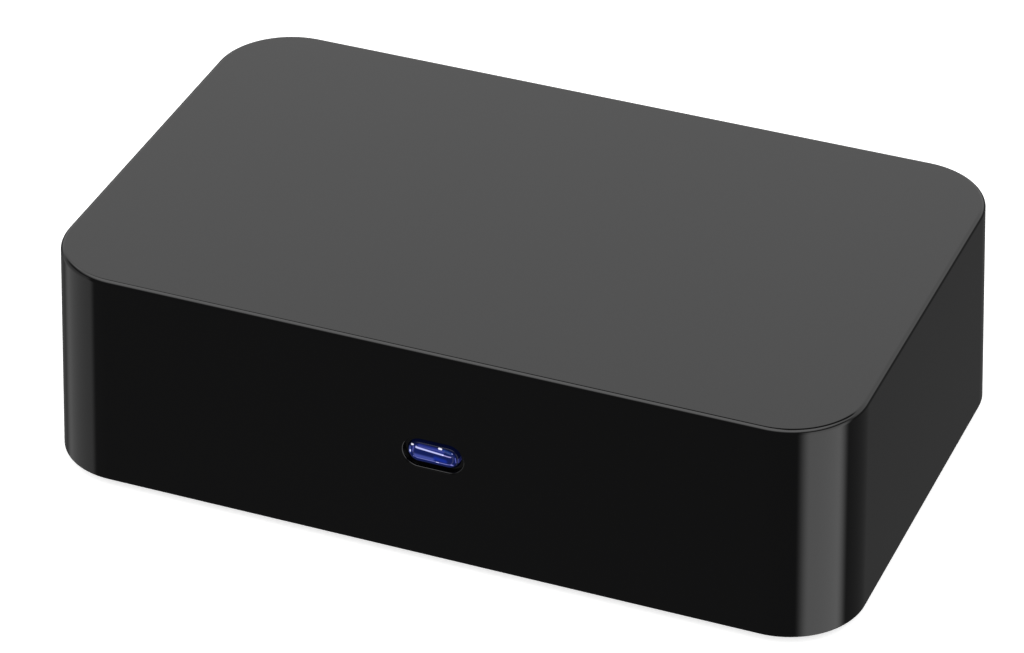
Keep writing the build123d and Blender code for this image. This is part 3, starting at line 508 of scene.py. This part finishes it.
BLACK = (0.012, 0.012, 0.013)
SLOT_MATERIALS = {
    "housing_gloss": gloss_black(),
    "base_matte": moulded("base_matte", (0.016, 0.016, 0.017)),
    "panel_matte": moulded("panel_matte", (0.013, 0.013, 0.014), 0.5),
    "foot_rubber": rubber(),
    "screw_black": metal("screw_black", (0.05, 0.05, 0.052), 0.38),
    "screw_steel": metal("screw_steel", (0.55, 0.55, 0.56), 0.25),
    "board_mask": solder_mask(),
    "chip_epoxy": moulded("chip_epoxy", BLACK, 0.45, grain=6000, depth=0.00002),
    "ferrite_grey": moulded("ferrite_grey", (0.045, 0.045, 0.05), 0.6),
    "can_aluminium": metal("can_aluminium", (0.78, 0.78, 0.80), 0.25),
    "shield_steel": metal("shield_steel", (0.62, 0.61, 0.58), 0.24),
    "pad_silicone": moulded("pad_silicone", (0.25, 0.27, 0.34), 0.7),
    "sink_aluminium": metal("sink_aluminium", (0.66, 0.66, 0.68), 0.34, stretch=(12, 1, 1)),
    "nylon_white": moulded("nylon_white", (0.66, 0.66, 0.62), 0.45, grain=3000, depth=0.00001),
    "insert_black": moulded("insert_black", BLACK, 0.4, grain=5000, depth=0.00001),
    "contact_gold": metal("contact_gold", (0.83, 0.60, 0.26), 0.2),
    "lamp_green": lit("lamp_green", (0.10, 0.34, 0.12), (0.1, 0.5, 0.12), 0.05),
    "lamp_amber": lit("lamp_amber", (0.50, 0.27, 0.05), (0.6, 0.3, 0.03), 0.05),
    "shutter_black": moulded("shutter_black", (0.02, 0.02, 0.022), 0.35, grain=5000, depth=0.00001),
    "emitter_red": lit("emitter_red", (0.3, 0.01, 0.01), (0.9, 0.03, 0.02), 0.4),
    "infrared_epoxy": polished("infrared_epoxy", (0.010, 0.006, 0.010), 0.12),
    "led_body": lit("led_body", (0.75, 0.78, 0.88), (0.15, 0.2, 1.0), 3.0),
    "lens_clear": blue_lens(),
    "connector_ivory": moulded("connector_ivory", (0.66, 0.60, 0.46), 0.45, grain=3000, depth=0.00001),
    "ribbon_film": polished("ribbon_film", (0.72, 0.72, 0.70), 0.35),
    "lead_jacket": moulded("lead_jacket", (0.02, 0.02, 0.021), 0.4),
}


def dress(piece, slot):
    piece.data.materials.clear()
    piece.data.materials.append(SLOT_MATERIALS[slot])


for part in frame["record"]["subparts"]:
    dress(frame["nodes"][part["node"]], part["material_slot"])

housing = build_housing()
dress(housing, "housing_gloss")
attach(housing, "case")
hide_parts("upper_housing")

lens = build_lens()
dress(lens, "lens_clear")
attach(lens, "standby_button")
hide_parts("button_lens")


# ------------------------------------------------------------------ studio, painted on the sky by direction
# Four soft panels, their places and strengths chosen to suit the photo. Limits are (dark, lit), with
# a smooth change between: compass angles in degrees, and heights as the z of the direction.
WALL_ASIDE, WALL_FOOT, WALL_HEAD, WALL_STRENGTH = (95, 125), (0, 0.3), (0.76, 0.7), 1.25
SIDE_HEIGHT = (0.5, 0.2)
RIGHT_FRONT, RIGHT_BACK, RIGHT_STRENGTH = (-30, -50), (-110, -90), 2.0
LEFT_FRONT, LEFT_BACK, LEFT_STRENGTH = (45, 55), (120, 100), 0.5
OVERHEAD_HEIGHT, OVERHEAD_ASIDE, OVERHEAD_STRENGTH = (0.55, 0.9), (140, 125), 3.0
SEEN_BASE = 0.15  # what polished surfaces see between the panels
EVEN_HEIGHT, EVEN_RISE, EVEN_BASE = (-0.3, 0.6), 0.75, 0.45  # what matt surfaces see: more light from above


class Sky:
    """Builds the world's node tree from small arithmetic steps."""

    def __init__(self):
        world = bpy.data.worlds.new("studio")
        bpy.context.scene.world = world
        world.use_nodes = True
        self.tree = world.node_tree
        self.tree.nodes.clear()
        split = self.node("ShaderNodeSeparateXYZ")
        coordinates = self.node("ShaderNodeTexCoord")
        self.tree.links.new(coordinates.outputs["Generated"], split.inputs[0])
        self.x, self.y, self.z = split.outputs

    def node(self, kind):
        return self.tree.nodes.new(kind)

    def math(self, operation, *values):
        node = self.node("ShaderNodeMath")
        node.operation = operation
        for socket, value in zip(node.inputs, values):
            if hasattr(value, "is_linked"):
                self.tree.links.new(value, socket)
            else:
                socket.default_value = value
        return node.outputs[0]

    def step(self, value, start, end):
        """0 before start, 1 after end, smooth between; start may be above end."""
        node = self.node("ShaderNodeMapRange")
        node.interpolation_type = "SMOOTHSTEP"
        self.tree.links.new(value, node.inputs["Value"])
        low, high = min(start, end), max(start, end)
        node.inputs["From Min"].default_value = low
        node.inputs["From Max"].default_value = high
        node.inputs["To Min"].default_value = 0 if start < end else 1
        node.inputs["To Max"].default_value = 1 if start < end else 0
        return node.outputs["Result"]


def build_studio():
    """Soft studio light: a wall of light behind, a panel at each side and a soft box overhead."""
    sky = Sky()
    m = sky.math
    # compass angle in degrees round the box: 0 front, positive to the left, negative to the right
    compass = m("MULTIPLY", m("ARCTAN2", m("MULTIPLY", sky.x, -1), m("MULTIPLY", sky.y, -1)), degrees(1))
    aside = m("ABSOLUTE", compass)
    side_height = sky.step(sky.z, *SIDE_HEIGHT)
    wall_height = m("MULTIPLY", sky.step(sky.z, *WALL_FOOT), sky.step(sky.z, *WALL_HEAD))
    right_width = m("MULTIPLY", sky.step(compass, *RIGHT_FRONT), sky.step(compass, *RIGHT_BACK))
    left_width = m("MULTIPLY", sky.step(compass, *LEFT_FRONT), sky.step(compass, *LEFT_BACK))
    panels = (
        (sky.step(aside, *WALL_ASIDE), wall_height, WALL_STRENGTH),
        (right_width, side_height, RIGHT_STRENGTH),
        (left_width, side_height, LEFT_STRENGTH),
        (sky.step(aside, *OVERHEAD_ASIDE), sky.step(sky.z, *OVERHEAD_HEIGHT), OVERHEAD_STRENGTH),
    )
    seen = SEEN_BASE
    for width, height, strength in panels:
        seen = m("ADD", seen, m("MULTIPLY", m("MULTIPLY", width, height), strength))

    # the camera sees plain white, polished surfaces see the panels and matt ones an even light
    path = sky.node("ShaderNodeLightPath")
    even = m("ADD", m("MULTIPLY", sky.step(sky.z, *EVEN_HEIGHT), EVEN_RISE), EVEN_BASE)
    gloss = path.outputs["Is Glossy Ray"]
    brightness = m("ADD", m("MULTIPLY", seen, gloss), m("MULTIPLY", even, m("SUBTRACT", 1, gloss)))
    eye = path.outputs["Is Camera Ray"]
    brightness = m("ADD", m("MULTIPLY", brightness, m("SUBTRACT", 1, eye)), eye)
    background = sky.node("ShaderNodeBackground")
    sky.tree.links.new(brightness, background.inputs["Strength"])
    output = sky.node("ShaderNodeOutputWorld")
    sky.tree.links.new(background.outputs[0], output.inputs["Surface"])


build_studio()


def build_floor():
    """Pale floor that the box stands on. The box doesn't mirror it, and seen from below it is clear."""
    bm = bmesh.new()
    half = 3.0
    corners = ((-half, -half, 0), (half, -half, 0), (half, half, 0), (-half, half, 0))
    bm.faces.new([bm.verts.new(corner) for corner in corners])
    floor = new_object("floor", bm)
    made, tree, shader = material("floor_white", (0.9, 0.9, 0.9), 0.9)
    shader.inputs["Specular IOR Level"].default_value = 0.0
    shader.inputs["Emission Color"].default_value = (1, 1, 1, 1)
    shader.inputs["Emission Strength"].default_value = 0.7
    clear = tree.nodes.new("ShaderNodeBsdfTransparent")
    side = tree.nodes.new("ShaderNodeNewGeometry")
    mix = tree.nodes.new("ShaderNodeMixShader")
    tree.links.new(side.outputs["Backfacing"], mix.inputs["Fac"])
    tree.links.new(shader.outputs[0], mix.inputs[1])
    tree.links.new(clear.outputs[0], mix.inputs[2])
    tree.links.new(mix.outputs[0], tree.nodes["Material Output"].inputs["Surface"])
    floor.data.materials.append(made)
    floor.visible_glossy = False
    floor.visible_diffuse = False
    floor.visible_shadow = False


build_floor()


# ------------------------------------------------------------------ camera, fitted to the outline in the photo
VIEW_AZIMUTH, VIEW_ELEVATION, VIEW_ROLL = radians(22.187), radians(33.38), radians(-0.245)
VIEW_DISTANCE = 702.05 * MM
VIEW_SHIFT_RIGHT, VIEW_SHIFT_UP = -2.13 * MM, 12.83 * MM  # across the line of sight, from the rim's middle
VIEW_LENS, VIEW_SENSOR = 168.5, 36.0  # in millimetres, as the camera wants them
VIEW_NEAR, VIEW_FAR = 0.05, 20.0


def build_camera():
    azimuth, elevation, roll = VIEW_AZIMUTH, VIEW_ELEVATION, VIEW_ROLL
    back = Vector((sin(azimuth) * cos(elevation), -cos(azimuth) * cos(elevation), sin(elevation)))
    level_right = Vector((cos(azimuth), sin(azimuth), 0))
    level_up = back.cross(level_right)
    right = cos(roll) * level_right + sin(roll) * level_up
    up = -sin(roll) * level_right + cos(roll) * level_up
    place_at = back * VIEW_DISTANCE + right * VIEW_SHIFT_RIGHT + up * VIEW_SHIFT_UP + Vector((0, 0, RIM_Z))
    data = bpy.data.cameras.new("camera")
    data.sensor_width, data.lens = VIEW_SENSOR, VIEW_LENS
    data.clip_start, data.clip_end = VIEW_NEAR, VIEW_FAR
    camera = bpy.data.objects.new("camera", data)
    bpy.context.scene.collection.objects.link(camera)
    camera.matrix_world = Matrix(
        (
            (right.x, up.x, back.x, place_at.x),
            (right.y, up.y, back.y, place_at.y),
            (right.z, up.z, back.z, place_at.z),
            (0, 0, 0, 1),
        )
    )
    bpy.context.scene.camera = camera


build_camera()

scene = bpy.context.scene
scene.view_settings.view_transform = "Standard"
scene.cycles.use_denoising = True
